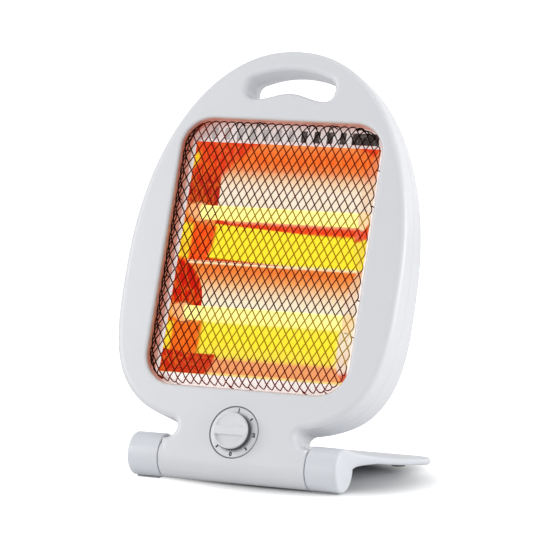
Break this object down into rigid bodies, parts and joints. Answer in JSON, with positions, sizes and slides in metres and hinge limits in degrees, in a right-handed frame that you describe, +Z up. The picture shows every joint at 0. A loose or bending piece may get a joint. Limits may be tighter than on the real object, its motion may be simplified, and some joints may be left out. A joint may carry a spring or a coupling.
{
  "type": "quartz heater",
  "caption": "Portable infrared quartz heater with an egg-shaped body, wire guard and carry handle, leaning back on a hinged foot.",
  "frame": {"origin": "centre of the resting box on the floor", "axes": "+X to the viewer's right, -Y towards the heated side, +Z up"},
  "size_m": [0.2556, 0.168, 0.3544],
  "materials": {
    "shell": "glossy",
    "trim": "satin",
    "guard": "satin",
    "reflector_sheet": "polished",
    "plain_sheet": "satin",
    "quartz": "clear",
    "element": "matt",
    "ceramic": "matt",
    "brass": "satin",
    "dark_plastic": "matt",
    "rubber": "matt",
    "steel": "satin",
    "lead_cover": "matt"
  },
  "bodies": {
    "stand": {"foot": "shell", "left_rear_pad": "rubber", "right_rear_pad": "rubber", "left_cap_pad": "rubber", "right_cap_pad": "rubber", "left_friction_washer": "steel", "right_friction_washer": "steel", "left_hinge_screw": "steel", "right_hinge_screw": "steel"},
    "heater": {"front_housing": "shell", "rear_housing": "shell", "dial_ring": "trim", "wire_guard": "guard", "reflector": "reflector_sheet", "left_end_cheek": "reflector_sheet", "right_end_cheek": "reflector_sheet", "left_tube_bracket": "plain_sheet", "right_tube_bracket": "plain_sheet", "heat_shield": "plain_sheet", "upper_quartz_tube": "quartz", "lower_quartz_tube": "quartz", "upper_element_core": "element", "lower_element_core": "element", "upper_left_ceramic": "ceramic", "upper_right_ceramic": "ceramic", "lower_left_ceramic": "ceramic", "lower_right_ceramic": "ceramic", "terminal_block": "ceramic", "upper_left_terminal": "brass", "upper_right_terminal": "brass", "lower_left_terminal": "brass", "lower_right_terminal": "brass", "thermal_cutout": "dark_plastic", "rotary_switch": "dark_plastic", "tip_switch_case": "dark_plastic", "cable_gland": "dark_plastic", "housing_screw_1": "steel", "housing_screw_2": "steel", "housing_screw_3": "steel", "housing_screw_4": "steel", "housing_screw_5": "steel", "housing_screw_6": "steel", "housing_screw_7": "steel", "housing_screw_8": "steel", "link_lead": "lead_cover", "feed_lead": "lead_cover", "cutout_lead": "lead_cover", "return_lead": "lead_cover", "switch_lead": "lead_cover"},
    "knob": {"control_knob": "shell", "switch_shaft": "trim"},
    "tip_pendulum": {"tip_weight": "brass"}
  },
  "joints": [
    {"name": "body_tilt", "type": "hinge", "parent": "stand", "child": "heater", "pos_m": [0, -0.06, 0.0191], "axis": [1, 0, 0], "range_deg": [-18, 20]},
    {"name": "knob_turn", "type": "hinge", "parent": "heater", "child": "knob", "pos_m": [0, -0.07023, 0.0461], "axis": [0, -0.9272, 0.3746], "range_deg": [-90, 90]},
    {"name": "tip_swing", "type": "hinge", "parent": "heater", "child": "tip_pendulum", "pos_m": [-0.066, -0.03218, 0.07085], "axis": [1, 0, 0], "range_deg": [-24, 32]}
  ]
}
